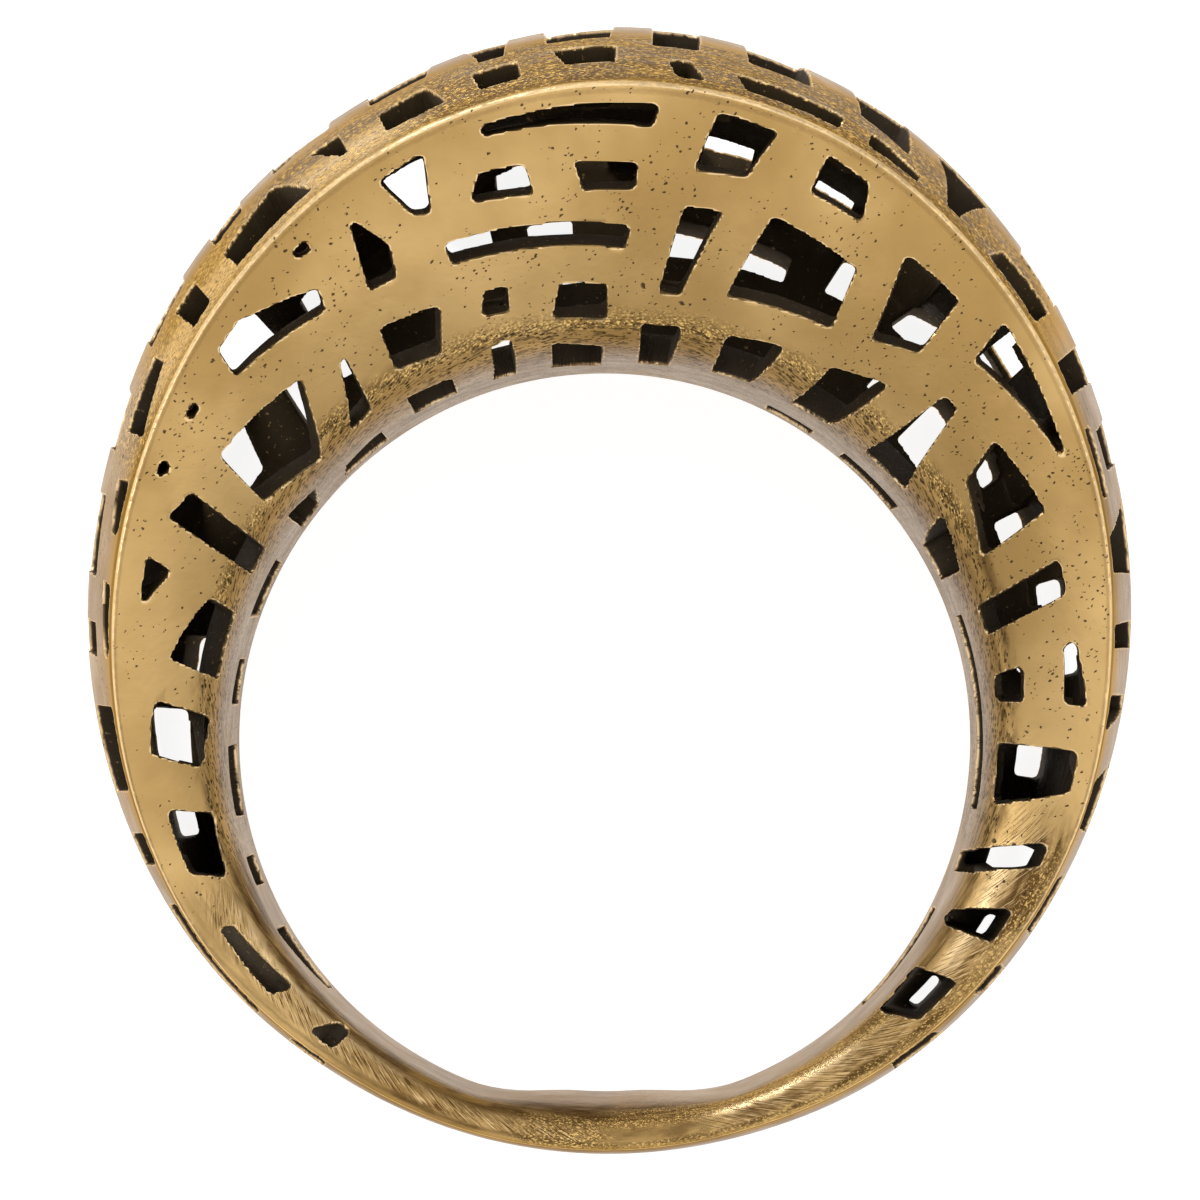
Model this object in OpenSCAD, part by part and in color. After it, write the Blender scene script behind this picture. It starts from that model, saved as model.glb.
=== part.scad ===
// Openwork dome ring, one hollow casting pierced with irregular four-sided gaps.
// It lies on its side: the rear ridge rests on the ground and the dome points along +Y.

/* [Finger hole] */
// Inside diameter, about US ring size 7
bore_d = 17.2; // [16.8:0.1:17.6]

/* [Band] */
// Distance from the ring's middle plane to each ridge, level with the finger axis
mid_half_w = 4.55; // [4.4:0.05:4.8]
// Lean of each ridge's plane, widening the band towards the top of the dome
side_lean = 13.9; // [13:0.1:14.5]
// Slope of the side faces beside the ridge
ridge_slope = 8; // [4:1:12]
// Slope of the side faces beside the fold at the finger hole
fold_slope = 28; // [24:1:32]
// Share of the half width that stays straight inside the finger hole
straight_share = 0.5; // [0.4:0.05:0.6]

/* [Walls] */
// Thickness of the dome and of the side faces
wall_t = 0.9; // [0.8:0.05:1]
// Thickness of the liner round the finger hole
liner_t = 0.7; // [0.6:0.05:0.8]
// How far each way from the top the ring is hollow
hollow_to = 108; // [100:1:112]

/* [Hidden] */

bore_r = bore_d / 2;
// Clearance that a cutter starts outside the metal
proud = 0.4;
// Depths of the cuts through the dome, the side faces and the liner
dome_cut = wall_t + 0.5;
face_cut = wall_t + 0.6;
liner_cut = liner_t + 0.4;
// Facets: step between sections and longest stretch of a gap's edge
clock_step = 9;
edge_step = 10;
long_rise = 0.6;

// Heights above the finger hole, by clock angle from the top of the dome: the crest on the
// middle plane, the ridge and the fold
CLOCK = 0;
CREST = 1;
RIDGE = 2;
FOLD = 3;
SECTIONS = [
    [-180, 0.95, 0.75, 0.10],
    [-160, 1.00, 0.85, 0.10],
    [-140, 1.30, 1.05, 0.12],
    [-120, 1.85, 1.45, 0.25],
    [-100, 2.55, 1.90, 0.38],
    [ -80, 3.45, 2.50, 0.50],
    [ -60, 4.55, 3.30, 0.62],
    [ -40, 5.95, 4.30, 0.70],
    [ -20, 7.10, 5.25, 0.70],
    [   0, 7.75, 5.80, 0.70],
    [  20, 7.35, 5.60, 0.75],
    [  40, 6.20, 4.75, 0.75],
    [  60, 4.80, 3.75, 0.75],
    [  80, 3.65, 2.80, 0.58],
    [ 100, 2.70, 2.15, 0.42],
    [ 120, 2.00, 1.55, 0.30],
    [ 140, 1.50, 1.15, 0.15],
    [ 160, 1.10, 0.82, 0.10]
];
section_step = 360 / len(SECTIONS);

// A place on the skin is a clock angle and a lap, which counts once round the section:
// -1 crest, 0 front ridge, 1 front fold, 2 middle of the finger hole, 3 rear fold,
// 4 rear ridge, 5 the crest again.
// Each row below is one gap, as the [clock, lap] of its four corners in order.

// Gaps of the front side face, some running over the fold
FRONT_GAPS = [
    [[-21.9, 0.12], [-17.0, 0.10], [-18.1, 0.37], [-19.8, 0.34]],
    [[-11.2, 0.085], [4.9, 0.085], [4.3, 0.18], [-11.5, 0.13]],
    [[-12.4, 0.28], [-7.9, 0.30], [-7.4, 0.43], [-13.9, 0.395]],
    [[-3.0, 0.32], [3.2, 0.335], [3.1, 0.445], [-2.2, 0.445]],
    [[10.2, 0.08], [15.7, 0.09], [13.9, 0.315], [8.8, 0.335]],
    [[20.7, 0.09], [25.1, 0.11], [26.1, 0.275], [20.3, 0.27]],
    [[-17.7, 0.525], [2.8, 0.595], [2.3, 0.69], [-17.6, 0.625]],
    [[8.4, 0.495], [12.4, 0.485], [9.4, 0.865], [6.8, 0.865]],
    [[17.6, 0.435], [27.7, 0.47], [28.4, 0.77], [15.1, 0.825]],
    [[-14.9, 0.79], [-12.0, 0.795], [-12.4, 0.905], [-15.9, 0.90]],
    [[-5.5, 0.825], [0.2, 0.84], [0.2, 0.99], [-7.0, 0.97]],
    [[-25.9, 0.19], [-23.3, 0.41], [-24.0, 0.565], [-27.3, 0.55]],
    [[-28.3, 0.74], [-20.5, 0.78], [-22.7, 0.995], [-29.1, 0.965]],
    [[-44.3, 0.17], [-40.5, 0.165], [-32.4, 0.47], [-45.0, 0.36]],
    [[-41.0, 0.17], [-32.1, 0.375], [-32.7, 0.49], [-42.0, 0.39]],
    [[-53.0, 0.545], [-39.6, 0.68], [-45.0, 1.21], [-54.5, 0.99]],
    [[-34.6, 0.76], [-33.8, 0.76], [-34.9, 1.15], [-39.2, 1.21]],
    [[-62.4, 0.36], [-58.6, 0.47], [-60.2, 1.33], [-64.4, 1.31]],
    [[-73.8, 0.275], [-67.6, 0.26], [-68.2, 0.50], [-68.9, 0.48]],
    [[-78.9, 0.625], [-69.7, 0.915], [-70.7, 1.29], [-80.7, 1.25]],
    [[31.5, 0.265], [38.4, 0.24], [38.6, 0.59], [33.3, 0.70]],
    [[43.3, 0.12], [58.3, 0.16], [58.0, 0.185], [43.8, 0.385]],
    [[44.3, 0.64], [46.2, 0.635], [49.7, 1.345], [41.6, 1.38]],
    [[52.0, 0.55], [61.9, 0.43], [63.6, 0.995], [53.9, 0.84]],
    [[67.8, 0.42], [71.9, 0.405], [74.2, 1.22], [69.9, 1.235]],
    [[31.0, 0.92], [38.2, 0.83], [35.0, 1.42], [28.6, 1.45]],
    [[16.6, 1.0], [24.3, 0.955], [21.7, 1.45], [16.0, 1.52]]
];

// Gaps of the rear side face
REAR_GAPS = [
    [[-82.0, 3.04], [-76.0, 3.02], [-76.6, 3.37], [-81.6, 3.38]],
    [[-72.5, 3.45], [-66.5, 3.55], [-67.5, 3.88], [-71.5, 3.90]],
    [[-57.0, 3.30], [-52.2, 3.28], [-49.0, 3.68], [-57.5, 3.82]],
    [[-46.2, 3.86], [-39.8, 3.84], [-39.8, 4.03], [-45.8, 4.03]],
    [[-44.2, 3.16], [-41.0, 3.10], [-38.8, 3.62], [-42.6, 3.64]],
    [[-36.5, 3.26], [-30.6, 3.24], [-31.0, 3.42], [-36.2, 3.46]],
    [[-35.4, 3.72], [-28.4, 3.66], [-28.4, 3.88], [-35.0, 3.95]],
    [[-18.6, 3.48], [-12.9, 3.47], [-12.9, 3.72], [-18.4, 3.75]],
    [[-22.4, 3.88], [-17.6, 3.88], [-17.4, 4.03], [-22.2, 4.03]],
    [[-16.8, 2.90], [-13.2, 2.90], [-13.4, 3.13], [-16.4, 3.13]],
    [[-11.3, 3.80], [-6.8, 3.80], [-6.6, 3.95], [-11.0, 3.95]],
    [[-8.7, 3.43], [-3.7, 3.43], [-3.6, 3.63], [-8.8, 3.64]],
    [[-6.0, 3.25], [1.6, 3.27], [1.0, 3.36], [-5.0, 3.36]],
    [[6.6, 3.40], [21.7, 3.43], [21.6, 3.57], [6.8, 3.58]],
    [[20.5, 3.76], [26.0, 3.76], [25.9, 3.96], [21.0, 3.96]],
    [[26.4, 3.50], [30.0, 3.52], [29.6, 3.78], [27.0, 3.76]],
    [[35.0, 3.58], [40.8, 3.57], [40.2, 3.85], [36.2, 3.77]],
    [[37.0, 3.18], [42.0, 3.22], [41.0, 3.42], [37.4, 3.38]],
    [[44.8, 3.06], [50.3, 3.02], [50.2, 3.48], [45.0, 3.50]],
    [[44.0, 3.74], [49.0, 3.72], [48.5, 3.97], [44.5, 3.97]],
    [[53.8, 3.38], [57.2, 3.36], [57.0, 3.58], [54.0, 3.60]],
    [[61.6, 3.33], [65.2, 3.33], [65.0, 3.66], [61.8, 3.67]],
    [[71.0, 3.62], [76.0, 3.60], [75.6, 3.88], [71.2, 3.90]]
];

// Gaps of the dome: a row along the front ridge, one from there over the crest, one along
// the rear ridge and one between that and the crest
DOME_GAPS = [
    [[-105.1, -0.65], [-101.2, -0.65], [-101.1, -0.07], [-105.1, -0.07]],
    [[-95.9, -0.60], [-86.0, -0.62], [-85.8, -0.07], [-95.6, -0.07]],
    [[-80.3, -0.13], [-72.0, -0.20], [-72.3, -0.07], [-79.8, -0.07]],
    [[-66.8, -0.16], [-61.5, -0.24], [-61.1, -0.07], [-66.6, -0.07]],
    [[-56.8, -0.32], [-49.4, -0.34], [-49.1, -0.18], [-56.3, -0.07]],
    [[-44.9, -0.36], [-41.7, -0.36], [-41.6, -0.07], [-44.4, -0.07]],
    [[-37.9, -0.25], [-30.8, -0.37], [-27.6, -0.07], [-37.3, -0.07]],
    [[-27.0, -0.37], [-23.7, -0.35], [-23.4, -0.12], [-24.0, -0.14]],
    [[-19.8, -0.30], [-15.4, -0.34], [-13.9, -0.12], [-19.5, -0.11]],
    [[-11.3, -0.28], [-7.4, -0.28], [-7.2, -0.12], [-10.7, -0.12]],
    [[-4.4, -0.32], [0.8, -0.32], [0.8, -0.15], [-3.3, -0.15]],
    [[5.3, -0.20], [7.0, -0.22], [8.6, -0.07], [6.1, -0.07]],
    [[11.0, -0.19], [20.8, -0.19], [20.7, -0.07], [12.3, -0.07]],
    [[23.5, -0.20], [28.9, -0.14], [28.9, -0.07], [23.7, -0.07]],
    [[29.3, -0.66], [36.0, -0.66], [33.7, -0.10], [32.4, -0.10]],
    [[39.0, -0.25], [45.9, -0.34], [45.4, -0.07], [38.0, -0.07]],
    [[50.2, -0.90], [53.8, -0.92], [53.0, -0.07], [49.8, -0.07]],
    [[56.7, -0.17], [63.7, -0.17], [63.7, -0.07], [56.7, -0.07]],
    [[64.4, -0.62], [72.3, -0.62], [71.3, -0.07], [67.7, -0.07]],
    [[77.2, -0.66], [80.0, -0.66], [79.3, -0.07], [76.9, -0.07]],
    [[85.0, -0.55], [86.4, -0.55], [88.5, -0.07], [84.6, -0.07]],
    [[92.0, -0.60], [100.8, -0.60], [100.2, -0.07], [94.5, -0.07]],
    [[-80.2, -0.92], [-76.8, -0.88], [-76.8, -0.31], [-80.3, -0.30]],
    [[-71.8, -0.95], [-64.0, -1.00], [-63.7, -0.40], [-71.8, -0.35]],
    [[-59.2, -1.05], [-53.0, -1.02], [-53.9, -0.47], [-59.2, -0.44]],
    [[-48.8, -0.96], [-42.0, -1.02], [-42.5, -0.50], [-49.0, -0.46]],
    [[-38.4, -1.02], [-34.0, -0.94], [-34.4, -0.46], [-38.0, -0.42]],
    [[-30.0, -0.95], [-23.6, -1.04], [-24.3, -0.55], [-30.3, -0.53]],
    [[-20.3, -0.98], [-14.2, -0.92], [-15.1, -0.48], [-20.2, -0.46]],
    [[-11.9, -0.90], [-7.6, -0.98], [-8.4, -0.38], [-10.4, -0.38]],
    [[-5.0, -1.04], [1.0, -0.96], [0.3, -0.43], [-4.7, -0.41]],
    [[3.9, -0.94], [7.6, -0.90], [7.7, -0.34], [3.9, -0.33]],
    [[11.0, -0.98], [16.0, -1.02], [17.4, -0.33], [12.0, -0.34]],
    [[20.0, -0.96], [25.8, -0.90], [27.3, -0.23], [22.2, -0.30]],
    [[40.2, -0.98], [46.2, -0.94], [45.8, -0.48], [40.4, -0.44]],
    [[57.0, -0.90], [61.5, -0.96], [61.4, -0.26], [57.6, -0.26]],
    [[-96.0, 4.10], [-88.0, 4.08], [-89.0, 4.75], [-96.5, 4.80]],
    [[-60.0, 4.10], [-51.0, 4.10], [-50.0, 4.42], [-59.0, 4.38]],
    [[-46.0, 3.98], [-39.6, 3.98], [-39.9, 4.50], [-45.4, 4.46]],
    [[-22.4, 3.98], [-17.4, 3.98], [-17.6, 4.44], [-22.0, 4.44]],
    [[-9.5, 4.08], [0.5, 4.08], [-1.5, 4.34], [-8.5, 4.40]],
    [[9.4, 4.03], [14.6, 4.03], [14.4, 4.31], [9.8, 4.31]],
    [[20.8, 4.03], [25.4, 4.03], [25.2, 4.30], [21.2, 4.30]],
    [[31.5, 4.08], [36.5, 4.08], [37.0, 4.50], [32.0, 4.44]],
    [[44.8, 4.07], [49.0, 4.07], [48.4, 4.86], [45.2, 4.86]],
    [[55.0, 4.08], [61.0, 4.08], [60.0, 4.38], [56.0, 4.42]],
    [[68.0, 4.08], [73.5, 4.08], [73.0, 4.60], [69.0, 4.55]],
    [[84.8, 4.10], [90.0, 4.10], [89.8, 4.66], [85.4, 4.62]],
    [[-51.5, 4.54], [-46.0, 4.58], [-47.0, 4.88], [-52.0, 4.84]],
    [[-33.0, 4.50], [-25.5, 4.52], [-26.5, 4.86], [-33.0, 4.88]],
    [[-16.0, 4.50], [-8.0, 4.54], [-9.0, 4.84], [-15.0, 4.88]],
    [[3.0, 4.48], [8.0, 4.52], [8.5, 4.88], [3.5, 4.90]],
    [[18.0, 4.52], [25.5, 4.52], [24.5, 4.90], [19.0, 4.84]],
    [[37.4, 4.50], [43.0, 4.52], [42.8, 4.86], [38.2, 4.88]]
];

// Gaps of the liner round the finger hole
LINER_GAPS = [
    [[-101.5, 1.70], [-91.0, 1.72], [-91.2, 2.25], [-102.1, 2.25]],
    [[-84.5, 1.84], [-77.7, 1.92], [-77.8, 2.25], [-84.8, 2.25]],
    [[-70.8, 1.85], [-61.3, 1.87], [-61.9, 2.30], [-70.6, 2.30]],
    [[-54.3, 1.36], [-48.8, 1.48], [-51.0, 2.20], [-55.3, 2.25]],
    [[-43.2, 1.80], [-35.7, 1.57], [-36.2, 2.20], [-44.8, 2.20]],
    [[-29.7, 1.28], [-22.7, 1.31], [-23.0, 1.82], [-30.0, 1.80]],
    [[-15.8, 1.10], [-13.0, 1.09], [-13.6, 1.84], [-17.1, 1.82]],
    [[-7.5, 1.21], [-0.4, 1.30], [-0.6, 1.95], [-8.0, 1.87]],
    [[5.0, 1.02], [10.4, 1.02], [9.3, 1.70], [5.1, 1.75]],
    [[26.0, 2.05], [34.2, 2.03], [34.2, 2.30], [26.4, 2.30]],
    [[40.0, 1.98], [51.6, 1.90], [51.6, 2.35], [40.1, 2.35]],
    [[55.8, 1.15], [64.0, 1.30], [64.7, 2.02], [58.8, 2.02]],
    [[70.5, 1.70], [100.3, 1.60], [100.8, 2.00], [70.8, 2.02]]
];

// Gaps where the band is thin, cut along the finger axis until front and rear meet.
// Columns: depth of the cut, then the four corners as above
DEPTH = 0;
CORNERS = 1;
AXIAL_GAPS = [
    [4.4, [[77.7, 0.34], [85.6, 0.21], [85.0, 0.45], [78.0, 0.455]]],
    [4.4, [[78.6, 3.78], [82.8, 3.78], [82.6, 4.04], [79.0, 4.04]]],
    [4.4, [[79.5, 0.855], [84.4, 0.87], [83.8, 1.2], [80.2, 1.2]]],
    [4.4, [[77.4, 3.34], [81.6, 3.34], [81.4, 3.55], [77.6, 3.55]]],
    [4.2, [[-91.3, 0.345], [-84.5, 0.46], [-86.3, 1.14], [-93.5, 0.97]]],
    [4.4, [[-94.6, 3.50], [-86.6, 3.46], [-86.4, 3.96], [-94.4, 3.97]]],
    [4.4, [[-107.5, 0.39], [-98.7, 0.39], [-100.2, 1.0], [-109.6, 0.91]]],
    [4.2, [[-103.8, 3.60], [-99.8, 3.58], [-99.6, 3.92], [-103.6, 3.95]]],
    [4.4, [[91.0, 0.235], [96.0, 0.225], [99.2, 1.14], [90.0, 1.19]]],
    [4.4, [[91.0, 3.36], [95.6, 3.36], [95.8, 3.72], [91.2, 3.72]]],
    [4.6, [[91.8, 3.92], [97.0, 3.92], [96.8, 4.12], [92.0, 4.12]]],
    [4.2, [[102.7, 0.27], [105.9, 0.26], [109.6, 1.2], [106.0, 1.2]]],
    [4.2, [[104.6, 3.30], [109.2, 3.32], [108.0, 4.10], [104.6, 4.10]]],
    [3.6, [[112.2, 0.30], [117.3, 0.30], [118.4, 1.25], [116.0, 1.25]]],
    [3.6, [[114.4, 3.60], [118.0, 3.60], [118.2, 4.14], [114.6, 4.14]]],
    [3.2, [[124.2, 0.35], [131.5, 0.38], [134.8, 1.14], [126.0, 1.22]]],
    [3.2, [[125.6, 3.45], [131.2, 3.45], [130.8, 3.84], [126.0, 3.84]]]
];

// Blind recesses of the thin band, with the same columns
RECESSES = [
    [1.6, [[-127.0, 0.41], [-115.5, 0.41], [-116.4, 0.65], [-128.4, 0.86]]],
    [1.2, [[-138.4, 0.41], [-134.0, 0.42], [-136.9, 1.05], [-138.8, 1.05]]],
    [0.5, [[-128.0, -0.45], [-110.7, -0.45], [-110.7, -0.07], [-127.8, -0.07]]],
    [0.5, [[106.0, -0.45], [114.5, -0.45], [113.8, -0.10], [106.8, -0.10]]],
    [0.5, [[120.0, -0.60], [123.2, -0.60], [124.3, -0.07], [119.3, -0.07]]],
    [0.4, [[-112.5, 1.60], [-108.2, 1.62], [-108.4, 2.20], [-113.1, 2.20]]],
    [0.4, [[-132.0, 1.98], [-119.8, 1.45], [-120.5, 2.20], [-132.6, 2.25]]],
    [0.4, [[106.0, 1.15], [109.5, 1.15], [110.8, 1.95], [107.5, 1.95]]],
    [0.4, [[117.3, 2.02], [136.0, 2.10], [136.0, 2.35], [117.5, 2.35]]]
];

// Smooth curve through the rows of SECTIONS
function row(i) = SECTIONS[(i + 2 * len(SECTIONS)) % len(SECTIONS)];
function smooth(a, b, c, d, t) =
    b + t / 2 * (c - a + t * (2 * a - 5 * b + 4 * c - d + t * (3 * (b - c) + d - a)));
function height(clock, column) =
    let (place = (clock - SECTIONS[0][CLOCK]) / section_step, i = floor(place))
    smooth(row(i - 1)[column], row(i)[column], row(i + 1)[column], row(i + 2)[column], place - i);

function crest_r(clock) = bore_r + height(clock, CREST);
function ridge_r(clock) = bore_r + height(clock, RIDGE);
function fold_r(clock) = bore_r + height(clock, FOLD);
function half_w(clock) = mid_half_w + tan(side_lean) * ridge_r(clock) * cos(clock);
function face_l(clock) = ridge_r(clock) - fold_r(clock);
function fold_v(clock) = half_w(clock) - face_l(clock) * (tan(ridge_slope) + tan(fold_slope)) / 2;
function straight_v(clock) = straight_share * half_w(clock);

// Half section as [radius, height above the middle plane]: the dome is an arc, the side
// face a shallow curve, and the finger hole flares out to the fold in a quarter ellipse
function dome(clock, t) =
    let (w = half_w(clock), sag = crest_r(clock) - ridge_r(clock), arc = (w * w + sag * sag) / (2 * sag))
    [crest_r(clock) - arc + sqrt(arc * arc - t * t * w * w), t * w];
function face(clock, t) =
    let (a = tan(ridge_slope), b = tan(fold_slope))
    [ridge_r(clock) - t * face_l(clock), half_w(clock) - face_l(clock) * (a * t + (b - a) * t * t / 2)];
flare_share = 0.6;
flare_from = 10;
function flare(clock, t) =
    let (
        turn = flare_from + (90 - flare_from) * min(t / flare_share, 1),
        deep = (fold_v(clock) - straight_v(clock)) / cos(flare_from),
        wide = (fold_r(clock) - bore_r) / (1 - sin(flare_from)),
        along = 1 - max(t - flare_share, 0) / (1 - flare_share)
    )
    [fold_r(clock) - wide * (sin(turn) - sin(flare_from)), straight_v(clock) * along + deep * cos(turn)];
function half_section(clock, lap) =
    lap < 0 ? dome(clock, 1 + lap) : lap < 1 ? face(clock, lap) : flare(clock, lap - 1);
function section(clock, lap) =
    lap > 5 ? section(clock, lap - 6)
    : lap <= 2 ? half_section(clock, lap)
    : let (p = half_section(clock, 4 - lap)) [p[0], -p[1]];

// Unit normal of the skin in the plane of the section, pointing out of the metal
nudge = 0.01;
function normal(clock, lap) =
    let (d = section(clock, lap + nudge) - section(clock, lap - nudge))
    [d[1], -d[0]] / norm(d);

// Point in the ring's own frame, with the finger axis along Z and the dome along Y
function place(clock, p) = [p[0] * sin(clock), p[0] * cos(clock), p[1]];

// Closed skin through rows of equally many points, joined end to end or capped
module loft(rows, closed) {
    n = len(rows[0]);
    m = len(rows);
    last = closed ? m : m - 1;
    faces = [
        for (i = [0 : last - 1], j = [0 : n - 1])
            let (a = i * n + j, b = i * n + (j + 1) % n, c = ((i + 1) % m) * n)
            each [[a, c + (j + 1) % n, b], [a, c + j, c + (j + 1) % n]]
    ];
    caps = closed ? [] : [[for (j = [0 : n - 1]) j], [for (j = [n - 1 : -1 : 0]) (m - 1) * n + j]];
    polyhedron([for (r = rows) each r], concat(faces, caps), convexity = 12);
}

// Clocks and laps of the skin's facet corners
CLOCKS = [for (clock = [-180 : clock_step : 179]) clock];
SKIN_LAPS = [-1, -0.67, -0.33, 0, 0.5, 1, 1.2, 1.6, 2.4, 2.8, 3, 3.5, 4, 4.33, 4.67];

module skin() {
    loft([for (clock = CLOCKS) [for (lap = SKIN_LAPS) place(clock, section(clock, lap))]], true);
}

// Hollow inside the dome, side faces and liner
corner_in = 0.85;
corner_down = 1.15;
fold_down = 1.3;
function hollow_half(clock) =
    let (
        crown = dome(clock, 0.5) - wall_t * normal(clock, -0.5),
        corner = [ridge_r(clock) - corner_in * wall_t, half_w(clock) - corner_down * wall_t],
        cheek = face(clock, 0.75) - wall_t * normal(clock, 0.75),
        fold = [bore_r + liner_t, fold_v(clock) - fold_down * wall_t]
    )
    [crown, corner, [min(cheek[0], corner[0] - 0.1), cheek[1]], fold];
hollow_step = 9;
module hollow() {
    loft([
        for (clock = [-hollow_to : hollow_step : hollow_to])
            let (half = hollow_half(clock))
            concat(
                [place(clock, [crest_r(clock) - wall_t, 0])],
                [for (p = half) place(clock, p)],
                [place(clock, [bore_r + liner_t, 0])],
                [for (i = [len(half) - 1 : -1 : 0]) place(clock, [half[i][0], -half[i][1]])]
            )
    ], false);
}

// One cut into the skin, whose four sides run along one way out of the metal
FRONT = [0, 1];
REAR = [0, -1];
function square_to(corners) =
    let (sum = corners[0] + corners[1] + corners[2] + corners[3]) normal(sum[0] / 4, sum[1] / 4);
module cut(corners, depth, way) {
    span = max(corners[1][0], corners[2][0]) - min(corners[0][0], corners[3][0]);
    rise = max(corners[2][1], corners[3][1]) - min(corners[0][1], corners[1][1]);
    nu = max(1, ceil(span / edge_step));
    nw = rise > long_rise ? 3 : 1;
    rim = concat(
        [for (i = [0 : nu - 1]) [i / nu, 0]],
        [for (i = [0 : nw - 1]) [1, i / nw]],
        [for (i = [nu : -1 : 1]) [i / nu, 1]],
        [for (i = [nw : -1 : 1]) [0, i / nw]]
    );
    function at(u, w) =
        (1 - w) * ((1 - u) * corners[0] + u * corners[1]) + w * ((1 - u) * corners[3] + u * corners[2]);
    function layer(out) =
        [for (s = rim) let (q = at(s[0], s[1])) place(q[0], section(q[0], q[1]) + out * way)];
    lid = layer(proud);
    floor_rim = layer(-depth);
    n = len(rim);
    mid = at(0.5, 0.5);
    lid_mid = place(mid[0], section(mid[0], mid[1]) + proud * way);
    floor_mid = place(mid[0], section(mid[0], mid[1]) - depth * way);
    polyhedron(
        concat(lid, floor_rim, [lid_mid, floor_mid]),
        [
            for (i = [0 : n - 1])
                let (j = (i + 1) % n)
                each [[i, j, 2 * n], [j, i, n + i], [j, n + i, n + j], [n + j, n + i, 2 * n + 1]]
        ],
        convexity = 4
    );
}

module pierced_shell() {
    difference() {
        skin();
        hollow();
        for (gap = DOME_GAPS) cut(gap, dome_cut, square_to(gap));
        for (gap = FRONT_GAPS) cut(gap, face_cut, square_to(gap));
        for (gap = REAR_GAPS) cut(gap, face_cut, square_to(gap));
        for (gap = LINER_GAPS) cut(gap, liner_cut, square_to(gap));
        for (gap = AXIAL_GAPS) cut(gap[CORNERS], gap[DEPTH], gap[CORNERS][0][1] < 2 ? FRONT : REAR);
        for (gap = RECESSES) cut(gap[CORNERS], gap[DEPTH], square_to(gap[CORNERS]));
    }
}

// Resting place: the plane of the rear ridge is turned down onto the ground, and a little
// more, because the side face bulges past that plane at the top of the dome
side_t = (tan(side_lean) - tan(ridge_slope)) / (tan(fold_slope) - tan(ridge_slope));
bulge = face_l(0) * (tan(side_lean) - tan(ridge_slope)) * side_t / 2;
rest_lean = side_lean + atan(bulge / (ridge_r(0) - side_t * face_l(0) + ridge_r(180)));
function laid(clock, lap) =
    let (p = place(clock, section(clock, lap)), c = cos(rest_lean), s = sin(rest_lean))
    [p[0], p[1] * c - p[2] * s, p[1] * s + p[2] * c];
LAID = [for (clock = CLOCKS, lap = SKIN_LAPS) laid(clock, lap)];
function reach(k) = [for (p = LAID) p[k]];
function middle(k) = (max(reach(k)) + min(reach(k))) / 2;

module openwork_ring() {
    color("darkgoldenrod")
    translate([-middle(0), -middle(1), -min(reach(2))])
    rotate([rest_lean, 0, 0])
    pierced_shell();
}

openwork_ring();
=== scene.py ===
import bpy
import bmesh
import math
import numpy as np
from mathutils import Matrix, Vector


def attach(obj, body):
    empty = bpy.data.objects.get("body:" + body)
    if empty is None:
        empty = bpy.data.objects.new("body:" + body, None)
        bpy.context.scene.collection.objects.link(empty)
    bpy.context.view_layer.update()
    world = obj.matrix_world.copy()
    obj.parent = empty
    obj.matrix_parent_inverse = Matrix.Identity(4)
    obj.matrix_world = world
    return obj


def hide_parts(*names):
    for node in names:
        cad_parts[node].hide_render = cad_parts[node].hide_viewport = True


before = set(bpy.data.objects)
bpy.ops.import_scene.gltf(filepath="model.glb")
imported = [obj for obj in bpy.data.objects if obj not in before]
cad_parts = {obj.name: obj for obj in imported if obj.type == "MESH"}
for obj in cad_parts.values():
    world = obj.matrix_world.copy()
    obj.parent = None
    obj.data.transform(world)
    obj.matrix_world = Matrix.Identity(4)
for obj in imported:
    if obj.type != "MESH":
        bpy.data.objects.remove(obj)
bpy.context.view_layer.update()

# The ring is modelled in millimetres, finger axis along z and dome towards +y, and is laid
# on its side at the end
rest = {"lean": 14.09, "place": (-0.105, -3.373, 4.445)}
toGround = (Matrix.Scale(0.001, 4) @ Matrix.Translation(rest["place"])
            @ Matrix.Rotation(math.radians(rest["lean"]), 4, "X"))
boreRadius = 8.6

ring = {
    "midHalfWidth": 4.55,
    "sideLean": 13.9,
    "ridgeSlope": 8,
    "foldSlope": 28,
    "straightShare": 0.5,     # of the half width, straight inside the finger hole
    "flareShare": 0.6,        # of the way from the fold to the middle, curved
    "flareFrom": 10,          # slope in degrees where the flare leaves the fold
    "wall": 0.9,
    "liner": 0.7,
    "hollowDownTo": -3.4,     # y where the hollow ends in the narrowing band
    "domeCut": 1.4,
    "faceCut": 1.5,
    "linerCut": 1.1,
    "proud": 0.4,             # how far a cutter starts outside the metal
    "cornerRound": 0.035,     # plan rounding of a gap's corners
    "cornerSteps": 3,
    "cutterStep": 0.6,        # a longer cutter is bent in more steps
    "wornRound": 0.35,        # laps over which the thin band's corners are worn round
    "wornFrom": 104,          # clock angles over which the wear comes in
    "wornTo": 145,
    "shankSwell": 0.52,       # how far the thin band's inside swells towards the finger
    "swellFrom": 158,
    "swellTo": 176,
    "turns": 180,             # sections round the skin, and points round a section
    "girth": 72,
    "hollowTurns": 120,
    "voxel": 0.07,
    "smoothing": 1,
    "backOnSkin": 0.045,      # what lies less deep goes back onto the skin
    "triangles": 190000,
    "shadedAsOne": 40,        # degrees that facets may turn and still look smooth
}

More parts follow.
